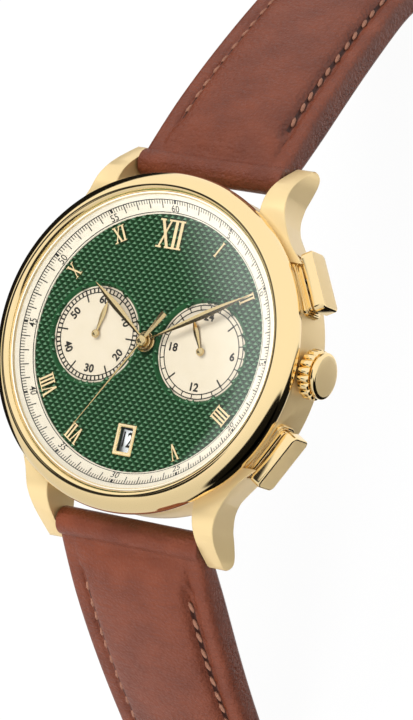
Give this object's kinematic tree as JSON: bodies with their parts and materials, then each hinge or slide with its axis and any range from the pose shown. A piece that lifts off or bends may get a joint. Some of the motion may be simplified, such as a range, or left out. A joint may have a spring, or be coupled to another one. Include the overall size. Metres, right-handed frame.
{
  "type": "chronograph wristwatch",
  "caption": "Round chronograph wristwatch with domed crystal, small counters, side crown and push buttons, on an unbuckled leather strap that stands as an arch.",
  "frame": {"origin": "centre of the case back's flat outer face", "axes": "+X towards 3 o'clock and the crown, +Y towards 12 o'clock along the strap, +Z out of the dial"},
  "size_m": [0.0431, 0.2256, 0.0434],
  "materials": {
    "polished_gold": "polished yellow gold tone plating on steel",
    "satin_gold": "fine satin yellow gold tone plating on steel",
    "crystal": "clear mineral glass, see-through",
    "green_lacquer": "deep green lacquer over stamped pyramids",
    "cream_paint": "cream paint with black print",
    "brass": "machined brass",
    "steel": "machined steel",
    "copper": "enamelled copper wire",
    "board": "green circuit board",
    "nylon": "white nylon",
    "black_plastic": "black plastic",
    "rubber": "black rubber",
    "leather": "reddish brown satin leather with tan stitching"
  },
  "bodies": {
    "case": {"mid_case": "satin_gold", "bezel": "polished_gold", "crystal": "crystal", "crystal_gasket": "nylon", "flange_ring": "cream_paint", "case_back": "polished_gold", "back_gasket": "rubber", "dial": "green_lacquer", "date_frame": "polished_gold", "numeral_12": "polished_gold", "numeral_1": "polished_gold", "numeral_2": "polished_gold", "numeral_4": "polished_gold", "numeral_5": "polished_gold", "numeral_7": "polished_gold", "numeral_8": "polished_gold", "numeral_10": "polished_gold", "numeral_11": "polished_gold", "movement_holder": "nylon", "main_plate": "brass", "train_bridge": "steel", "circuit_board": "board", "coil": "copper", "battery": "steel", "battery_clamp": "steel", "date_ring_guard": "black_plastic", "crown_tube": "satin_gold", "pusher_tube_2": "satin_gold", "pusher_tube_4": "satin_gold", "spring_bar_12": "steel", "spring_bar_6": "steel"},
    "minute": {"cannon_pinion": "brass", "minute_hand": "polished_gold"},
    "minute_wheel": {"minute_wheel": "brass"},
    "hour": {"hour_wheel": "brass", "hour_hand": "polished_gold"},
    "day": {"day_arbor": "steel", "day_hand": "polished_gold"},
    "chrono_seconds": {"centre_arbor": "steel", "chrono_seconds_hand": "polished_gold"},
    "chrono_minute": {"counter_arbor": "steel", "chrono_minute_hand": "polished_gold"},
    "date": {"date_ring": "cream_paint"},
    "stem": {"stem": "steel"},
    "crown": {"crown": "polished_gold", "crown_gasket": "rubber"},
    "pusher_2": {"pusher_2": "polished_gold", "pusher_spring_2": "steel"},
    "pusher_4": {"pusher_4": "polished_gold", "pusher_spring_4": "steel"},
    "strap_12": {"strap_12": "leather", "fixed_keeper": "leather"},
    "free_keeper": {"free_keeper": "leather"},
    "strap_6": {"strap_6": "leather"},
    "buckle": {"buckle_frame": "polished_gold", "buckle_bar": "steel"},
    "tongue": {"buckle_tongue": "polished_gold"}
  },
  "joints": [
    {"name": "minute_turn", "type": "hinge", "parent": "case", "child": "minute", "pos_m": [0, 0, 0.0086], "axis": [0, 0, -1], "continuous": true},
    {"name": "minute_wheel_turn", "type": "hinge", "parent": "case", "child": "minute_wheel", "pos_m": [0, 0.00384, 0.0075], "axis": [0, 0, -1], "continuous": true},
    {"name": "hour_turn", "type": "hinge", "parent": "case", "child": "hour", "pos_m": [0, 0, 0.0086], "axis": [0, 0, -1], "continuous": true},
    {"name": "day_turn", "type": "hinge", "parent": "case", "child": "day", "pos_m": [0.00722, 0, 0.0086], "axis": [0, 0, -1], "continuous": true},
    {"name": "chrono_seconds_turn", "type": "hinge", "parent": "case", "child": "chrono_seconds", "pos_m": [0, 0, 0.0086], "axis": [0, 0, -1], "continuous": true},
    {"name": "chrono_minute_turn", "type": "hinge", "parent": "case", "child": "chrono_minute", "pos_m": [-0.00722, 0, 0.0086], "axis": [0, 0, -1], "continuous": true},
    {"name": "date_turn", "type": "hinge", "parent": "case", "child": "date", "pos_m": [0, 0, 0.0076], "axis": [0, 0, -1], "continuous": true},
    {"name": "crown_pull", "type": "slide", "parent": "case", "child": "stem", "axis": [1, 0, 0], "range_m": [0, 0.0015]},
    {"name": "crown_turn", "type": "hinge", "parent": "stem", "child": "crown", "pos_m": [0.021, 0, 0.0051], "axis": [1, 0, 0], "continuous": true},
    {"name": "pusher_2_press", "type": "slide", "parent": "case", "child": "pusher_2", "axis": [-0.8721, -0.4894, 0], "range_m": [0, 0.0008], "stiffness_N_per_m": 1500, "springref_m": -0.0005},
    {"name": "pusher_4_press", "type": "slide", "parent": "case", "child": "pusher_4", "axis": [-0.8721, 0.4894, 0], "range_m": [0, 0.0008], "stiffness_N_per_m": 1500, "springref_m": -0.0005},
    {"name": "strap_12_swing", "type": "hinge", "parent": "case", "child": "strap_12", "pos_m": [0, 0.0216, 0.0026], "axis": [1, 0, 0], "range_deg": [-50, 25]},
    {"name": "free_keeper_slide", "type": "slide", "parent": "strap_12", "child": "free_keeper", "axis": [0, -1, 0], "range_m": [0, 0.002]},
    {"name": "buckle_swing", "type": "hinge", "parent": "strap_12", "child": "buckle", "pos_m": [0, 0.0894, -0.0301], "axis": [1, 0, 0], "range_deg": [-45, 75]},
    {"name": "tongue_swing", "type": "hinge", "parent": "buckle", "child": "tongue", "pos_m": [0, 0.0894, -0.0301], "axis": [1, 0, 0], "range_deg": [0, 60]},
    {"name": "strap_6_swing", "type": "hinge", "parent": "case", "child": "strap_6", "pos_m": [0, -0.0216, 0.0026], "axis": [-1, 0, 0], "range_deg": [-38, 35]}
  ],
  "couplings": [
    {"joint": "minute_wheel_turn", "follows": "minute_turn", "ratio": -0.33333},
    {"joint": "hour_turn", "follows": "minute_turn", "ratio": 0.083333},
    {"joint": "day_turn", "follows": "minute_turn", "ratio": 0.041667},
    {"joint": "chrono_minute_turn", "follows": "chrono_seconds_turn", "ratio": 0.016667}
  ]
}
